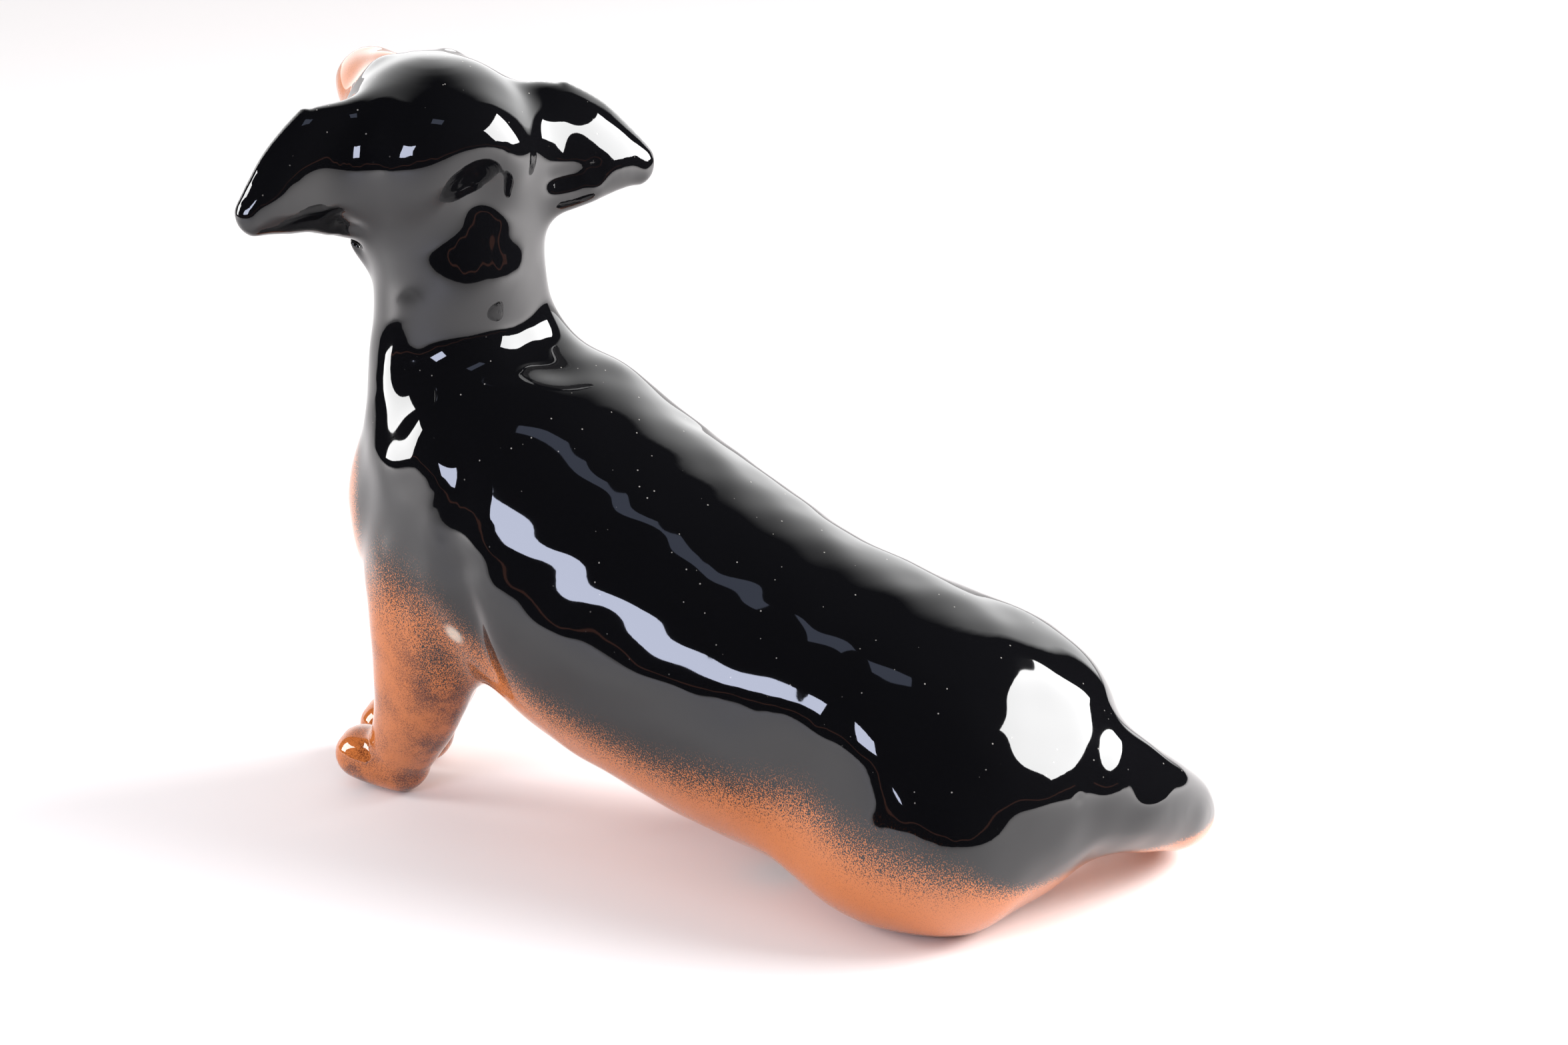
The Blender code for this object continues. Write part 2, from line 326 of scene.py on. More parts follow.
forelegs = {
    "left": (
        (9.6, -21.5, 40.0, 6.0, 9.0),
        (10.8, -22.6, 31.0, 5.6, 8.6),
        (10.4, -24.0, 23.0, 5.2, 7.4),
        (8.8, -26.2, 15.0, 4.7, 6.0),
        (7.2, -29.2, 8.5, 4.2, 4.7),
        (6.3, -31.6, 4.2, 3.9, 3.8),
    ),
    "right": (
        (-9.6, -23.0, 40.0, 6.0, 8.6),
        (-9.8, -24.8, 31.0, 5.4, 7.8),
        (-7.6, -28.0, 22.0, 4.8, 6.0),
        (-4.8, -31.4, 13.0, 4.1, 4.7),
        (-3.0, -34.4, 4.2, 3.7, 3.8),
    ),
    "rounding": (3.0, 3.0),
    "paw": (                       # from the heel towards the toes
        (0.0, 0.9, 3.5, 3.9, 3.6),
        (0.2, -3.0, 3.9, 4.2, 3.6),
        (0.4, -5.2, 4.0, 3.9, 3.4),
    ),
    "pawRounding": (3.0, 3.4),
    "toeGroove": ((0.0, -3.4, 6.6), (0.0, -7.4, 5.6), (0.0, -8.6, 3.2), (0.0, -8.6, 1.2)),
    "toeGrooves": (-1.2, 1.4),     # sideways from the middle of the paw
    "toes": (-2.3, 0.2, 2.6),
}

hindLegs = {
    "left": (
        (4.0, 30.0, 8.0, 7.0, 8.0),
        (-8.0, 22.0, 6.2, 6.0, 7.0),
        (-18.0, 17.0, 4.7, 4.5, 4.8),
        (-26.0, 14.0, 3.5, 4.0, 4.2),
    ),
    "right": (
        (-14.0, 42.0, 17.0, 10.0, 10.5),
        (-20.0, 35.0, 13.5, 8.0, 8.6),
        (-25.0, 32.0, 8.0, 5.6, 6.0),
        (-30.0, 27.0, 3.8, 4.2, 4.4),
    ),
    "rounding": (4.0, 4.0),
}

tail = {
    "curl": (
        (0.0, 50.0, 17.0, 10.0, 9.0),
        (-5.0, 55.5, 15.0, 8.0, 7.4),
        (-11.5, 59.5, 11.8, 6.2, 5.8),
        (-18.2, 61.0, 8.4, 5.0, 4.8),
        (-22.6, 60.0, 5.9, 4.4, 4.3),
        (-26.0, 57.4, 4.8, 3.8, 3.7),
        (-27.4, 53.4, 4.5, 3.2, 3.2),
    ),
    "rounding": (2.0, 3.0),
}


def headFrame():
    turn = Matrix.Rotation(math.radians(-head["turn"]), 4, "Z")
    pitch = Matrix.Rotation(math.radians(-head["pitch"]), 4, "X")
    return Matrix.Translation(Vector(head["at"])) @ turn @ pitch


def onHead(*spots):
    # spots in the head's frame, given back in the dog's frame
    place = headFrame()
    return [tuple(place @ Vector(spot)) for spot in spots]


def headForm(stations, rounding, across=leftward, swell=0.0):
    form = loft(stations, rounding, across, swell=swell)
    form.transform(headFrame())
    return form


def bodyForms(swell):
    return [
        loft(body["torso"], body["torsoRounding"], rings=90, sides=72, swell=swell),
        loft(body["chest"], body["chestRounding"], swell=swell),
        loft(body["haunchLeft"], body["haunchRounding"], swell=swell),
        loft(body["haunchRight"], body["haunchRounding"], swell=swell),
    ]


def earForm(side, first, swell=0.0):
    # the ear's leaf from one of its stations to the tip
    return headForm(ears[side][first:], ears["rounding"], across=ears[side + "Across"], swell=swell)


def pawForm(side):
    x, y = forelegs[side][-1][:2]
    toes = [(x + out, y + back, up, wide, high) for out, back, up, wide, high in forelegs["paw"]]
    return loft(toes, forelegs["pawRounding"])


def rootForms(swell):
    # head, ears, legs and tail as stout forms, to be wiped into the body
    forms = [headForm(head["skull"], head["skullRounding"], swell=swell), loft(head["throat"], swell=swell)]
    forms.append(headForm(head["poll"], (2.0, 2.0), across=(0.0, 1.0, 0.0), swell=swell))
    forms += [earForm(side, 0, swell) for side in ("left", "right")]
    forms += [loft(forelegs[side], forelegs["rounding"], swell=swell) for side in ("left", "right")]
    for side in ("left", "right"):
        forms.append(loft(hindLegs[side], hindLegs["rounding"], across=upward, swell=swell))
    return forms + [loft(tail["curl"], tail["rounding"], across=upward, swell=swell)]


def endForms():
    # the thin ends, which the wiping would wear away
    forms = [headForm(head["skull"][3:], head["skullRounding"])]
    forms += [earForm(side, 2) for side in ("left", "right")]
    for side in ("left", "right"):
        forms += [loft(forelegs[side][-2:], forelegs["rounding"]), pawForm(side)]
        forms.append(loft(hindLegs[side][1:], hindLegs["rounding"], across=upward))
    return forms + [loft(tail["curl"][3:], tail["rounding"], across=upward)]


def joined(base, *others):
    # one object of the meshes of several, which keeps base and drops the others
    merged = bmesh.new()
    for thing in (base, *others):
        merged.from_mesh(thing.data)
    merged.to_mesh(base.data)
    merged.free()
    for thing in others:
        bpy.data.objects.remove(thing)
    return base


def standFlat(thing):
    # presses what dips under the surface that the dog stands on flat against it
    spots = points(thing)
    spots[:, 2] = np.maximum(spots[:, 2], 0.0)
    setPoints(thing, spots)


# the drained inside of the casting and its vent under the belly
inside = {
    "stations": body["torso"][1:6],
    "rounding": (6.0, 5.0),
    "wall": 4.5,                   # mm
    "vent": ((5.0, 21.0, -3.0, 3.2, 3.2), (5.0, 21.0, 10.0, 3.2, 3.2)),
    "voxel": 0.5,                  # mm
    "reach": 16.6,                 # mm from the trunk's middle line to just outside the hollow
    "ventReach": 3.9,
}


def drain(thing):
    # hollows the trunk and opens the vent
    hollow = loft(inside["stations"], inside["rounding"], swell=-inside["wall"])
    cutter = voxelSkin(meshObject("hollow", hollow, loft(inside["vent"])), inside["voxel"])
    cut = thing.modifiers.new("drain", "BOOLEAN")
    cut.operation = "DIFFERENCE"
    cut.solver = "MANIFOLD"
    cut.object = cutter
    settle(thing)
    bpy.data.objects.remove(cutter)


skinSet = {
    "bodySwell": 0.3,              # mm, makes good what the wiping takes off
    "bodyPasses": 30,
    "rootSwell": 0.6,
    "rootPasses": 70,              # wide fillets where the limbs are stuck on
    "coarse": 0.8,                 # mm between points while the forms are joined
    "fine": 0.45,                  # mm between points of the finished skin
    "finePasses": 16,
    "rippleHeight": 0.045,         # mm
    "rippleLength": 6.0,           # mm
    "lastPasses": 3,
    "sharpAngle": 55.0,            # degrees, so that only the rim of the vent is sharp
}


def buildSkin():
    # clay body first, then limbs wiped into it with wide fillets, then the thin ends
    coarse = skinSet["coarse"]
    skin = voxelSkin(meshObject("skin", *bodyForms(skinSet["bodySwell"])), coarse)
    soften(skin, skinSet["bodyPasses"])
    joined(skin, meshObject("roots", *rootForms(skinSet["rootSwell"])))
    soften(voxelSkin(skin, coarse), skinSet["rootPasses"])
    joined(skin, meshObject("ends", *endForms()))
    soften(voxelSkin(skin, skinSet["fine"]), skinSet["finePasses"])
    standFlat(skin)
    return skin


# modelling strokes in the dog's frame: path, width in mm, height in mm
bodyStrokes = (
    # hollow behind the neck, over the withers
    (((12.0, -22.6, 57.4), (9.2, -18.0, 59.4), (5.5, -14.6, 60.0), (0.0, -13.4, 60.2)), 3.8, -1.1),
    # nape: hollow under the skull and a swell below it
    (((8.5, -19.6, 76.4), (5.0, -17.0, 76.4)), 3.5, -0.8),
    (((8.0, -19.0, 67.2), (5.5, -17.0, 67.2)), 4.0, 0.6),
    # left shoulder blade: grooves between its flat places
    (((16.2, -15.0, 50.0), (17.6, -13.5, 45.5), (18.6, -14.5, 40.0)), 2.5, -0.5),
    # left upper arm, ribs behind it and the crease between
    (((16.3, -24.5, 34.5), (18.4, -19.0, 33.0)), 4.2, 0.9),
    (((19.4, -10.0, 35.0), (19.5, -5.0, 32.0), (19.6, 1.0, 30.0)), 4.0, 0.5),
    (((19.3, -13.0, 36.0), (19.0, -12.0, 30.0), (17.0, -11.5, 23.0)), 2.6, -0.8),
    # flank: waves, hollow of the loin and the haunch
    (((19.4, 12.0, 28.0),), 4.0, 0.3),
    (((19.3, 22.0, 25.0),), 3.5, -0.3),
    (((11.5, 19.5, 40.0), (16.8, 24.5, 31.0)), 5.0, -0.3),
    (((19.2, 29.0, 22.0), (19.3, 31.0, 12.0)), 5.0, -0.8),
    # far shoulder and loin, along the top line
    (((-6.0, -8.0, 54.0),), 4.0, 0.5),
    (((-6.0, 1.0, 50.0),), 3.5, -0.3),
    (((-15.0, -14.0, 47.0), (-17.0, -13.0, 38.0)), 3.0, 0.5),
    (((-12.0, 24.0, 37.0), (-17.5, 28.0, 29.0), (-19.0, 28.0, 18.0)), 5.5, -0.7),
    # dent at the elbow and a pinhole on the rump
    (((17.7, -23.2, 28.8),), 1.5, -0.35),
    (((4.0, 59.5, 17.5),), 0.5, -0.5),
)

# face, in the head's frame
face = {
    "eyes": ((6.6, -12.6, 3.6), (-4.6, -12.6, 3.8)),
    "nose": (2.3, -29.0, 3.4),
    "nostrils": ((3.3, -29.0, 2.9), (1.3, -29.0, 2.9)),
    "lips": (
        ((6.0, -13.5, -2.6), (6.0, -19.0, -2.2), (4.8, -25.0, -1.8), (2.3, -29.0, -1.6)),
        ((-4.6, -13.5, -2.6), (-3.0, -19.0, -2.2), (-0.6, -25.0, -1.8), (2.3, -29.0, -1.6)),
    ),
}
# modelling strokes in the head's frame
headStrokes = (
    (((4.4, -9.0, 8.0),), 2.2, 0.4),            # brows
    (((-4.0, -9.0, 8.0),), 2.2, 0.5),
    (((0.4, -9.5, 8.5), (0.8, -15.0, 6.5)), 2.4, -0.7),         # furrow and stop
    (((5.2, -17.5, 3.0),), 2.6, -0.5),          # hollows of the muzzle under the eyes
    (((-2.6, -17.5, 3.0),), 2.6, -0.5),
    (((2.2, -26.0, -4.0),), 2.4, 0.5),          # chin
    *(((eye,), 2.4, -0.8) for eye in face["eyes"]),
    *(((eye,), 1.25, 0.9) for eye in face["eyes"]),
    *((path, 0.5, -0.5) for path in face["lips"]),
    ((face["nose"],), 1.9, 0.9),
    *(((spot,), 0.5, -0.5) for spot in face["nostrils"]),
)
earStrokes = (
    # folds along the lower edges of the ears, in the dog's frame
    (((-5.0, -14.9, 77.2), (-6.8, -13.0, 77.4)), 1.3, -0.5),
    (((-9.0, -10.9, 78.0), (-10.3, -8.6, 78.7)), 1.4, -0.6),
    (((-9.2, -10.9, 74.8), (-10.9, -8.0, 75.8)), 1.6, 0.7),
    (((-10.9, -8.4, 79.0), (-9.2, -10.9, 82.3), (-6.8, -14.0, 84.1)), 3.0, 0.5),
    (((13.1, -32.7, 74.1), (11.6, -32.4, 73.0)), 1.3, -0.8),
    (((19.0, -35.7, 80.7), (16.3, -35.6, 84.0)), 3.0, 0.4),
)


# flatter places, in the dog's frame: spot, facing, width in mm, share of the roundness taken away
flats = (
    ((6.2, 54.8, 25.4), (0.26, 0.75, 0.6), 13.0, 0.75),        # rump
    ((-7.5, 63.8, 16.0), (0.15, 0.78, 0.6), 3.5, 0.8),         # tail
    ((15.3, -24.2, 49.4), (0.85, -0.24, 0.46), 5.2, 0.85),     # shoulder blade, in three places
    ((16.3, -18.6, 50.0), (0.9, 0.15, 0.41), 2.8, 0.8),
    ((17.9, -9.6, 44.8), (0.89, 0.19, 0.42), 2.8, 0.6),
    ((17.3, -20.5, 44.0), (0.96, -0.12, 0.17), 4.6, 0.6),
    ((6.2, -17.5, 77.4), (0.6, 0.79, 0.14), 4.4, 0.75),        # nape under the skull
    ((16.5, 32.0, 28.2), (0.83, 0.36, 0.42), 6.0, 0.8),        # loin before the thigh
    ((15.2, 42.0, 27.0), (0.8, 0.42, 0.43), 6.0, 0.75),        # thigh under the rump
    ((18.6, 38.5, 20.5), (0.985, -0.13, 0.05), 7.5, 0.85),     # outer side of the thigh
    ((2.3, -12.8, 58.4), (0.24, 0.76, 0.6), 3.6, 0.8),         # withers
    ((22.3, -38.6, 78.2), (0.85, -0.1, 0.46), 2.5, 0.5),       # tip of the left ear
)


def model(thing):
    # all the listed modelling on the smooth skin
    for spot, facing, width, share in flats:
        flatten(thing, spot, facing, width, share)
    sculpt(thing, bodyStrokes)
    for path, width, height in headStrokes:
        sculpt(thing, [(laidOn(thing, onHead(*path)), width, height)])
    sculpt(thing, earStrokes)
    for side in ("left", "right"):
        x, y = forelegs[side][-1][:2]
        for out in forelegs["toeGrooves"]:
            path = [(x + out, y + back, up) for _, back, up in forelegs["toeGroove"]]
            sculpt(thing, [(path, 0.55, -0.5)])
    ripple(thing, skinSet["rippleHeight"], skinSet["rippleLength"])
    soften(thing, skinSet["lastPasses"])
    standFlat(thing)


skin = buildSkin()
model(skin)
drain(skin)
print("skin:", len(skin.data.vertices), "points")
skin.data.shade_smooth()
skin.data.set_sharp_from_angle(angle=math.radians(skinSet["sharpAngle"]))


# paint and glaze
def linear(hexColour):
    # sRGB hex to linear red, green, blue, alpha
    parts = [int(hexColour[i:i + 2], 16) / 255 for i in (1, 3, 5)]
    return [p / 12.92 if p <= 0.04045 else ((p + 0.055) / 1.055) ** 2.4 for p in parts] + [1.0]


def addNode(tree, kind, settings=None, inputs=None):
    # adds one node; an input given as (node, output name) is linked, any other is set
    node = tree.nodes.new(kind)
    for name, value in (settings or {}).items():
        setattr(node, name, value)
    for name, value in (inputs or {}).items():
        socket = node.inputs[name]
        if isinstance(value, tuple) and isinstance(value[0], bpy.types.Node):
            tree.links.new(value[0].outputs[value[1]], socket)
        else:
            socket.default_value = value
    return node


glazeSet = {
    "black": "#0b0b0d",
    "tan": "#bb6b37",
    "brown": "#55291a",
    "biscuit": "#d8cdbd",
    "dust": "#a9a5a0",
    "roughness": 0.035,
    "biscuitRoughness": 0.85,
    "ior": 1.6,
    "speck": 0.16,                 # mm, grain of the airbrush
    "mottle": 4.0,                 # mm, size of the brown clouds
    "dustApart": 1.2,              # mm between specks of dust
}

# height in mm, nose to tail, at which the black spray has faded by half into the tan
fadeLine = (
    (-40.0, 31.0), (-26.0, 30.5), (-19.0, 28.0), (-15.0, 26.0), (-12.0, 24.5), (-2.5, 19.5), (6.0, 17.0),
    (13.0, 15.5), (24.0, 15.5), (32.0, 15.5), (38.0, 13.0), (46.0, 11.5), (53.0, 10.5), (57.0, 7.0), (66.0, 6.5),
)

spraySet = {
    "fade": 1.5,                   # mm over which the black fades out at the tail
    "flankFade": 6.0,              # mm more on the flanks
    "legFade": 5.0,                # mm more on the forelegs
    "brows": (4.4, -3.8),          # head's frame, to the left of its middle
    "browAt": (-9.8, 7.4),
    "eyeRadius": 1.6,
    "noseRadius": 2.4,
    "lipWidth": 0.5,
    "lipDark": 0.7,
    "clawForward": 8.4,
    "clawHeight": 2.4,
    "clawRadius": 0.9,
    "chip": (16.9, -15.9, 26.8),   # rough spot behind the elbow
    "chipRadius": 1.7,
    "soleHeight": 0.12,            # mm up to which the biscuit is bare
}


def spray(thing):
    # where black spray, brown spray, dark brush marks, painted shade on the foreleg and bare clay lie, as values
    # from 0 to 1
    spots, facing = points(thing), outward(thing)
    x, y, z = spots.T
    ahead, height = np.array(fadeLine).T
    reach = spraySet["fade"] + spraySet["flankFade"] * ease(y, 62.0, 46.0)
    reach = reach + spraySet["legFade"] * ease(y, -12.0, -18.0)
    black = ease(z - np.interp(y, ahead, height), -reach, reach)

    # tan muzzle, cheeks, brow spots and chest
    place = np.array(headFrame().inverted())
    hx, hy, hz = (spots @ place[:3, :3].T + place[:3, 3]).T
    inHead = ease(z, 70.0, 76.0)
    muzzle = ease(-hy, 9.5, 13.0) * inHead
    cheeks = ease(-hz, 2.5, 6.0) * ease(-hy, 3.0, 8.0) * inHead
    back, up = spraySet["browAt"]
    browReach = [(hx - out) ** 2 + (hy - back) ** 2 + (hz - up) ** 2 for out in spraySet["brows"]]
    brows = sum(np.exp(-reached / 2.2) for reached in browReach)
    chest = ease(-y, 31.0, 35.0) * ease(z, 50.0, 40.0)
    black *= (1 - 0.95 * muzzle) * (1 - 0.9 * cheeks) * (1 - 0.8 * np.clip(brows, 0, 1)) * (1 - 0.8 * chest)

    # painted shade: half black behind the elbow, in the recess between the foreleg and the chest; brown on the
    # foreleg, and painted shade as more brown on its back side and darker at the heel
    black = np.maximum(black, 0.5 * ease(y, -25.0, -19.5) * ease(-y, 8.0, 14.0) * ease(z, 13.0, 21.0))
    leg = ease(z, 33.0, 22.0) * ease(y, -14.0, -18.0)
    brown = leg * (0.4 + 0.5 * ease(facing[:, 1], -0.2, 0.6))
    brown = np.maximum(brown, leg * ease(z, 6.0, 1.5) * 1.2)

    # eyes, nose, lips and claws
    dabs = [(laidOn(thing, onHead(eye)), spraySet["eyeRadius"], 0.3, 1.0) for eye in face["eyes"]]
    dabs.append((laidOn(thing, onHead(face["nose"])), spraySet["noseRadius"], 0.3, 1.0))
    for path in face["lips"]:
        dabs.append((laidOn(thing, onHead(*path)), spraySet["lipWidth"], 0.25, spraySet["lipDark"]))
    for side in ("left", "right"):
        pawX, pawY = forelegs[side][-1][:2]
        for out in forelegs["toes"]:
            claw = (pawX + out, pawY - spraySet["clawForward"], spraySet["clawHeight"])
            dabs.append(([claw], spraySet["clawRadius"], 0.3, 1.0))
    marks = np.zeros(len(spots))
    for path, radius, edge, dark in dabs:
        marks = np.maximum(marks, dark * ease(strokeDistance(spots, path), radius, radius - edge))

    # bare clay under the feet, in a chip and inside
    chip = np.linalg.norm(spots - np.array(spraySet["chip"]), axis=1)
    bare = 0.6 * ease(chip, spraySet["chipRadius"], spraySet["chipRadius"] - 1.0)
    bare = np.maximum(bare, ease(z, spraySet["soleHeight"], spraySet["soleHeight"] / 3))
    for run, limit in (("stations", inside["reach"]), ("vent", inside["ventReach"])):
        deep = strokeDistance(spots, [station[:3] for station in inside[run]])
        bare = np.maximum(bare, ease(deep, limit, limit - 0.4))

    # the black and brown layers also hold the painted shade on the foreleg
    layers = {"blackSpray": black, "brownSpray": brown, "brushMarks": marks, "bareClay": bare}
    for name, values in layers.items():
        layer = thing.data.attributes.new(name, "FLOAT", "POINT")
        layer.data.foreach_set("value", np.clip(values, 0, 1).astype(np.float32))


def glazedEarthenware():
    # clear gloss glaze over sprayed colour: near-black back, fine airbrushed fade to orange tan, brown
    # clouds on the legs, painted shade behind the elbow and on the foreleg's back and heel, dark brush marks,
    # matt biscuit where it stands and a little dust on top
    material = bpy.data.materials.new("glazedEarthenware")
    material.use_nodes = True
    tree = material.node_tree
    shader = tree.nodes["Principled BSDF"]
    shader.inputs["IOR"].default_value = glazeSet["ior"]
    smooth = {"interpolation_type": "SMOOTHSTEP"}
    place = addNode(tree, "ShaderNodeTexCoord")
    # the black and brown layers also hold painted shade behind the elbow and on the foreleg's back and heel
    blackSpray = addNode(tree, "ShaderNodeAttribute", {"attribute_name": "blackSpray"})
    brownSpray = addNode(tree, "ShaderNodeAttribute", {"attribute_name": "brownSpray"})
    brushMarks = addNode(tree, "ShaderNodeAttribute", {"attribute_name": "brushMarks"})
    bareClay = addNode(tree, "ShaderNodeAttribute", {"attribute_name": "bareClay"})

    # the airbrush leaves a fine grain, so the black thins out in specks
    speck = addNode(tree, "ShaderNodeTexNoise", inputs={
        "Vector": (place, "Object"), "Scale": 1 / (glazeSet["speck"] * mm), "Detail": 1.0})
    grain = addNode(tree, "ShaderNodeMapRange", smooth, {
        "Value": (speck, "Fac"), "From Min": 0.3, "From Max": 0.7, "To Min": -0.28, "To Max": 0.28})
    sprayed = addNode(tree, "ShaderNodeMath", {"operation": "ADD"}, {
        0: (blackSpray, "Fac"), 1: (grain, "Result")})
    black = addNode(tree, "ShaderNodeMapRange", smooth, {
        "Value": (sprayed, "Value"), "From Min": 0.26, "From Max": 0.72})

    # brown clouds over the tan, with painted shade as more brown on the foreleg's back and heel
    mottle = addNode(tree, "ShaderNodeTexNoise", inputs={
        "Vector": (place, "Object"), "Scale": 1 / (glazeSet["mottle"] * mm), "Detail": 3.0})
    clouds = addNode(tree, "ShaderNodeMapRange", smooth, {
        "Value": (mottle, "Fac"), "From Min": 0.25, "From Max": 0.75})
    clouded = addNode(tree, "ShaderNodeMath", {"operation": "MULTIPLY"}, {
        0: (brownSpray, "Fac"), 1: (clouds, "Result")})
    speckled = addNode(tree, "ShaderNodeMath", {"operation": "ADD"}, {
        0: (clouded, "Value"), 1: (grain, "Result")})
    brown = addNode(tree, "ShaderNodeMapRange", smooth, {
        "Value": (speckled, "Value"), "From Min": 0.0, "From Max": 0.9})

    # specks of dust on the faces that look up
    facing = addNode(tree, "ShaderNodeSeparateXYZ", inputs={"Vector": (place, "Normal")})
    upper = addNode(tree, "ShaderNodeMapRange", smooth, {
        "Value": (facing, "Z"), "From Min": 0.1, "From Max": 0.6})
    cells = addNode(tree, "ShaderNodeTexVoronoi", inputs={
        "Vector": (place, "Object"), "Scale": 1 / (glazeSet["dustApart"] * mm)})
    dots = addNode(tree, "ShaderNodeMapRange", smooth, {
        "Value": (cells, "Distance"), "From Min": 0.05, "From Max": 0.1, "To Min": 0.7, "To Max": 0.0})
    rare = addNode(tree, "ShaderNodeMath", {"operation": "GREATER_THAN"}, {0: (cells, "Color"), 1: 0.55})
    fewDots = addNode(tree, "ShaderNodeMath", {"operation": "MULTIPLY"}, {
        0: (dots, "Result"), 1: (rare, "Value")})
    dust = addNode(tree, "ShaderNodeMath", {"operation": "MULTIPLY"}, {
        0: (fewDots, "Value"), 1: (upper, "Result")})

    # each colour lies over the ones before it
    layers = linear(glazeSet["tan"])
    coats = (((brown, "Result"), "brown"), ((black, "Result"), "black"), ((brushMarks, "Fac"), "black"),
             ((bareClay, "Fac"), "biscuit"), ((dust, "Value"), "dust"))
    for share, over in coats:
        mix = addNode(tree, "ShaderNodeMix", {"data_type": "RGBA"}, {
            0: share, 6: layers, 7: linear(glazeSet[over])})
        layers = (mix, 2)
    tree.links.new(mix.outputs[2], shader.inputs["Base Color"])
    rough = addNode(tree, "ShaderNodeMapRange", smooth, {
        "Value": (bareClay, "Fac"), "To Min": glazeSet["roughness"], "To Max": glazeSet["biscuitRoughness"]})
    tree.links.new(rough.outputs["Result"], shader.inputs["Roughness"])
    return material


spray(skin)
skin.data.materials.clear()
skin.data.materials.append(glazedEarthenware())
print("glaze: black, tan and brown sprayed, dark marks brushed")

# stage: pale floor, bright surround, two softboxes, a window, the dark side of the studio as painted shade in
# reflections and a glowing rail as a painted reflection
stageSet = {
    "floorColour": "#fbf7f7",
    "surround": 0.6,               # radiance of the surround as a soft light
    "surroundMirrored": 2.4,       # the same as the glaze mirrors it
    "surroundSeen": 1.0,           # the same as the camera sees it
    "darkRadius": 0.46,            # metres from the dog to the dark side of the studio
    "darkHeight": 0.62,
    "darkFrom": 148.0,             # degrees round from the picture's right, away from the camera
    "darkTo": 412.0,
    "fadeLow": 22.0,               # elevations between which the bright surround fades out overhead
    "fadeHigh": 62.0,
    # a glowing strip that paints a brown reflection of a wood edge into the glaze
    "railColour": "#6b4436",
    "railGlow": 3.0,
    "railFrom": 185.0,             # degrees round, and how far it runs
    "railSweep": 165.0,
    "railAway": 0.43,              # metres
    "railHeight": 0.055,
    "railWidth": 0.007,
    "floorReach": 3.0,
    "lights": {                    # bearing, elevation, metres away, width, height, watts, colour
        "softboxRight": (4.0, 34.0, 0.42, 0.34, 0.22, 3.6, "#ffffff"),
        "softboxLeft": (178.0, 20.0, 0.42, 0.12, 0.20, 1.0, "#ffffff"),
        "window": (-130.0, 23.0, 0.42, 0.12, 0.09, 0.42, "#dfe6ff"),
        "overhead": (-105.0, 72.0, 0.42, 0.09, 0.05, 0.014, "#cfdcff"),
    },
}


def bearing(around, rise, away):
    # a spot at a bearing and an elevation in degrees, in metres, with bearing 0 to the camera's right
    turn = math.radians(cameraSet["heading"])
    right = Vector((-math.sin(turn), math.cos(turn), 0.0))
    far = Vector((-math.cos(turn), -math.sin(turn), 0.0))
    a, e = math.radians(around), math.radians(rise)
    level = (right * math.cos(a) + far * math.sin(a)) * math.cos(e)
    return level * away + Vector(upward) * math.sin(e) * away


def stageMesh(name, corners, faces, material):
    mesh = bpy.data.meshes.new(name)
    mesh.from_pydata(corners, [], faces)
    thing = bpy.data.objects.new(name, mesh)
    bpy.context.scene.collection.objects.link(thing)
    mesh.materials.append(material)
    return thing


def plainPaper(name, colour):
    material = bpy.data.materials.new(name)
    material.use_nodes = True
    shader = material.node_tree.nodes["Principled BSDF"]
    shader.inputs["Base Color"].default_value = linear(colour)
    shader.inputs["Roughness"].default_value = 0.7
    return material


def reflectedShadeSheet():
    # painted shade for the dark side of the studio: a black sheet that only reflections see
    material = bpy.data.materials.new("reflectedShadeSheet")
    material.use_nodes = True
    tree = material.node_tree
    tree.nodes.remove(tree.nodes["Principled BSDF"])
    black = addNode(tree, "ShaderNodeEmission", inputs={"Color": linear("#000000"), "Strength": 0.0})
    clear = addNode(tree, "ShaderNodeBsdfTransparent")
    shade = addNode(tree, "ShaderNodeAttribute", {"attribute_name": "shade"})
    mix = addNode(tree, "ShaderNodeMixShader", inputs={"Fac": (shade, "Fac")})
    tree.links.new(clear.outputs[0], mix.inputs[1])
    tree.links.new(black.outputs[0], mix.inputs[2])
    tree.links.new(mix.outputs[0], tree.nodes["Material Output"].inputs["Surface"])
    return material


def darkStudio(setUp):
    # painted shade in reflections: a half-round black tent, whole towards the camera and fading in overhead
    # elsewhere
    corners, faces, shades = [], [], []
    steps, rises = 96, 40
    for i in range(steps + 1):
        for j in range(rises + 1):
            around, rise = 360.0 * i / steps, 90.0 * (j / rises) ** 1.4
            e = math.radians(rise)
            reach = 1.0 / math.hypot(math.cos(e) / setUp["darkRadius"], math.sin(e) / setUp["darkHeight"])
            corners.append(bearing(around, rise, reach))
            whole = setUp["darkFrom"] <= around or around <= setUp["darkTo"] - 360.0
            fade = (rise - setUp["fadeLow"]) / (setUp["fadeHigh"] - setUp["fadeLow"])
            shades.append(1.0 if whole else min(max(fade, 0.0), 1.0))
    for i in range(steps):
        for j in range(rises):
            k = i * (rises + 1) + j
            faces.append((k, k + 1, k + rises + 2, k + rises + 1))
    tent = stageMesh("darkStudio", corners, faces, reflectedShadeSheet())
    tent.data.attributes.new("shade", "FLOAT", "POINT").data.foreach_set("value", shades)
    tent.visible_camera = tent.visible_diffuse = tent.visible_shadow = False


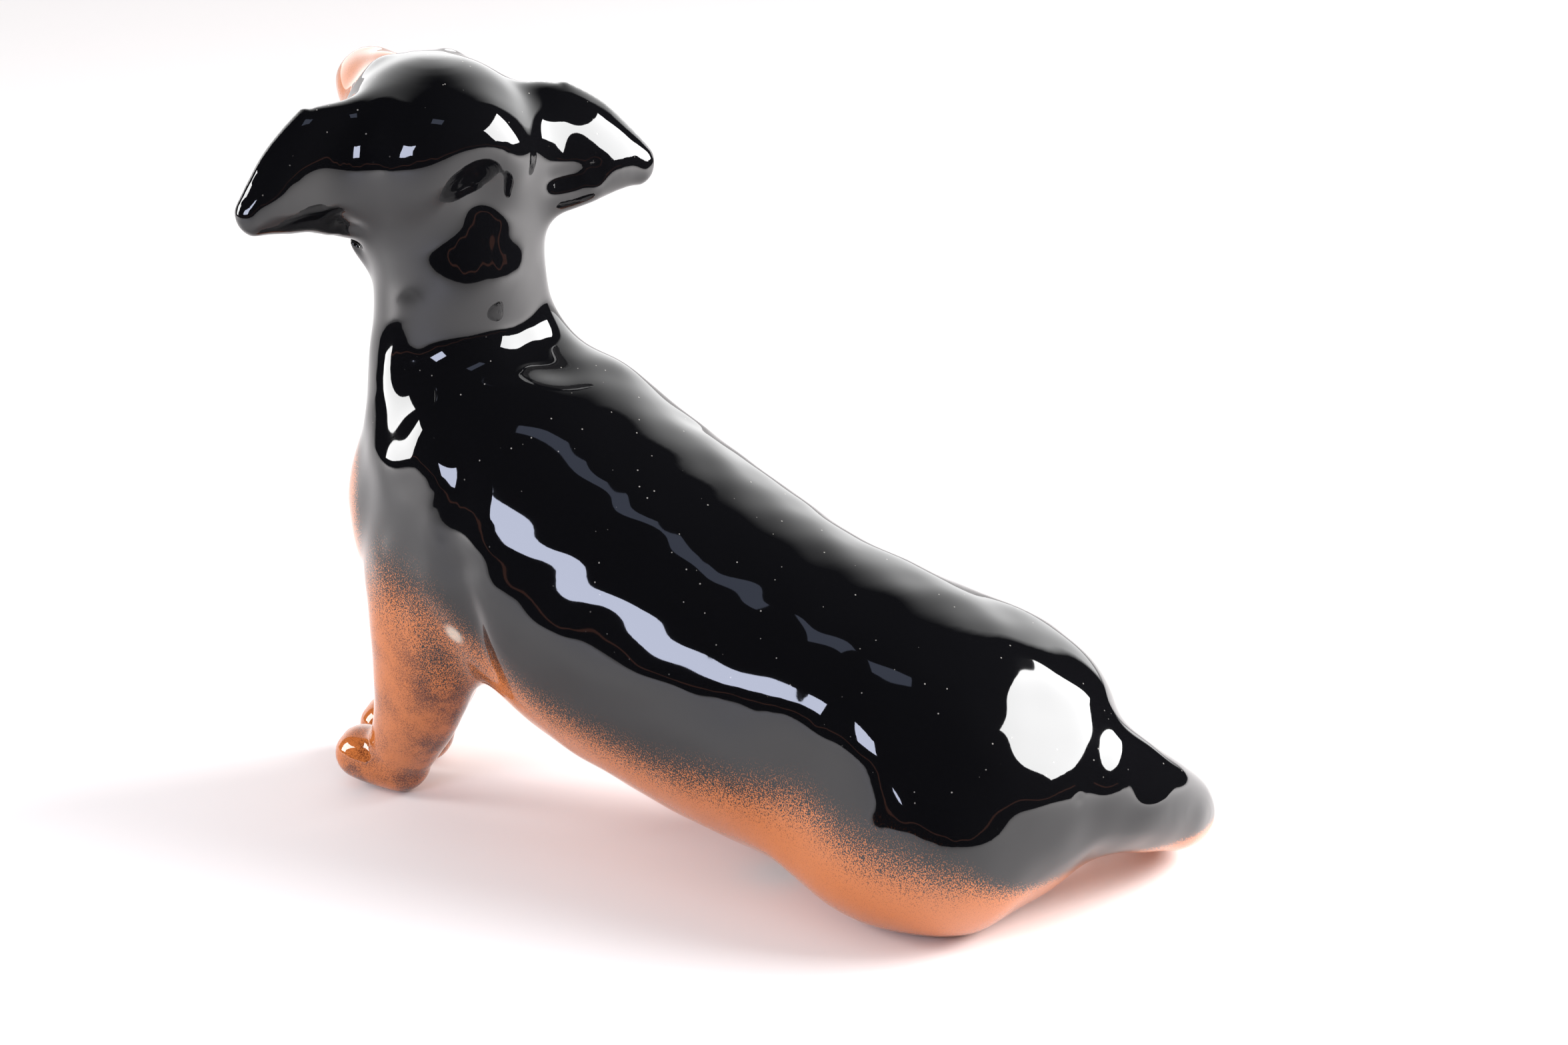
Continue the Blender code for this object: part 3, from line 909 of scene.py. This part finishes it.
def glowingRail(setUp):
    # painted reflection: a self-lit brown strip, no lamp, that only the glaze sees, as a thin line of a wood
    # edge between the white paper and the dark
    material = bpy.data.materials.new("railReflectionGlow")
    material.use_nodes = True
    tree = material.node_tree
    tree.nodes.remove(tree.nodes["Principled BSDF"])
    glow = addNode(tree, "ShaderNodeEmission", inputs={
        "Color": linear(setUp["railColour"]), "Strength": setUp["railGlow"]})
    tree.links.new(glow.outputs[0], tree.nodes["Material Output"].inputs["Surface"])
    corners, faces = [], []
    for i in range(61):
        around = setUp["railFrom"] + setUp["railSweep"] * i / 60
        low = setUp["railHeight"] + 0.012 * math.sin(i * 0.31) + 0.006 * math.sin(i * 0.9)
        spot = bearing(around, 0.0, setUp["railAway"])
        corners += [spot + Vector((0, 0, low)), spot + Vector((0, 0, low + setUp["railWidth"]))]
        if i:
            faces.append((2 * i - 2, 2 * i - 1, 2 * i + 1, 2 * i))
    rail = stageMesh("glowingRail", corners, faces, material)
    rail.visible_camera = rail.visible_diffuse = rail.visible_shadow = False


def softLight(name, around, rise, away, wide, high, power, colour):
    data = bpy.data.lights.new(name, "AREA")
    data.shape, data.size, data.size_y = "RECTANGLE", wide, high
    data.energy = power
    data.color = linear(colour)[:3]
    light = bpy.data.objects.new(name, data)
    light.location = bearing(around, rise, away)
    light.rotation_euler = (Vector((0, 0, 0.035)) - light.location).to_track_quat("-Z", "Y").to_euler()
    light.visible_camera = False
    bpy.context.scene.collection.objects.link(light)


reach = stageSet["floorReach"]
stageMesh("floor", [(-reach, -reach, 0), (reach, -reach, 0), (reach, reach, 0), (-reach, reach, 0)],
          [(0, 1, 2, 3)], plainPaper("whitePaper", stageSet["floorColour"]))
darkStudio(stageSet)
glowingRail(stageSet)
for name, placing in stageSet["lights"].items():
    softLight(name, *placing)
world = bpy.data.worlds.new("studio")
bpy.context.scene.world = world
world.use_nodes = True
surround = world.node_tree.nodes["Background"]
surround.inputs["Color"].default_value = (1, 1, 1, 1)
rays = addNode(world.node_tree, "ShaderNodeLightPath")
level = stageSet["surround"]
rayLevels = {"Is Camera Ray": stageSet["surroundSeen"], "Is Glossy Ray": stageSet["surroundMirrored"]}
for ray, wanted in rayLevels.items():
    extra = wanted - stageSet["surround"]
    more = addNode(world.node_tree, "ShaderNodeMath", {"operation": "MULTIPLY_ADD"})
    world.node_tree.links.new(rays.outputs[ray], more.inputs[0])
    more.inputs[1].default_value = extra
    if isinstance(level, float):
        more.inputs[2].default_value = level
    else:
        world.node_tree.links.new(level, more.inputs[2])
    level = more.outputs[0]
world.node_tree.links.new(level, surround.inputs["Strength"])
bpy.context.scene.view_settings.view_transform = "Standard"
print("stage: floor, dark side and", len(stageSet["lights"]), "lights")

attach(skin, "root")
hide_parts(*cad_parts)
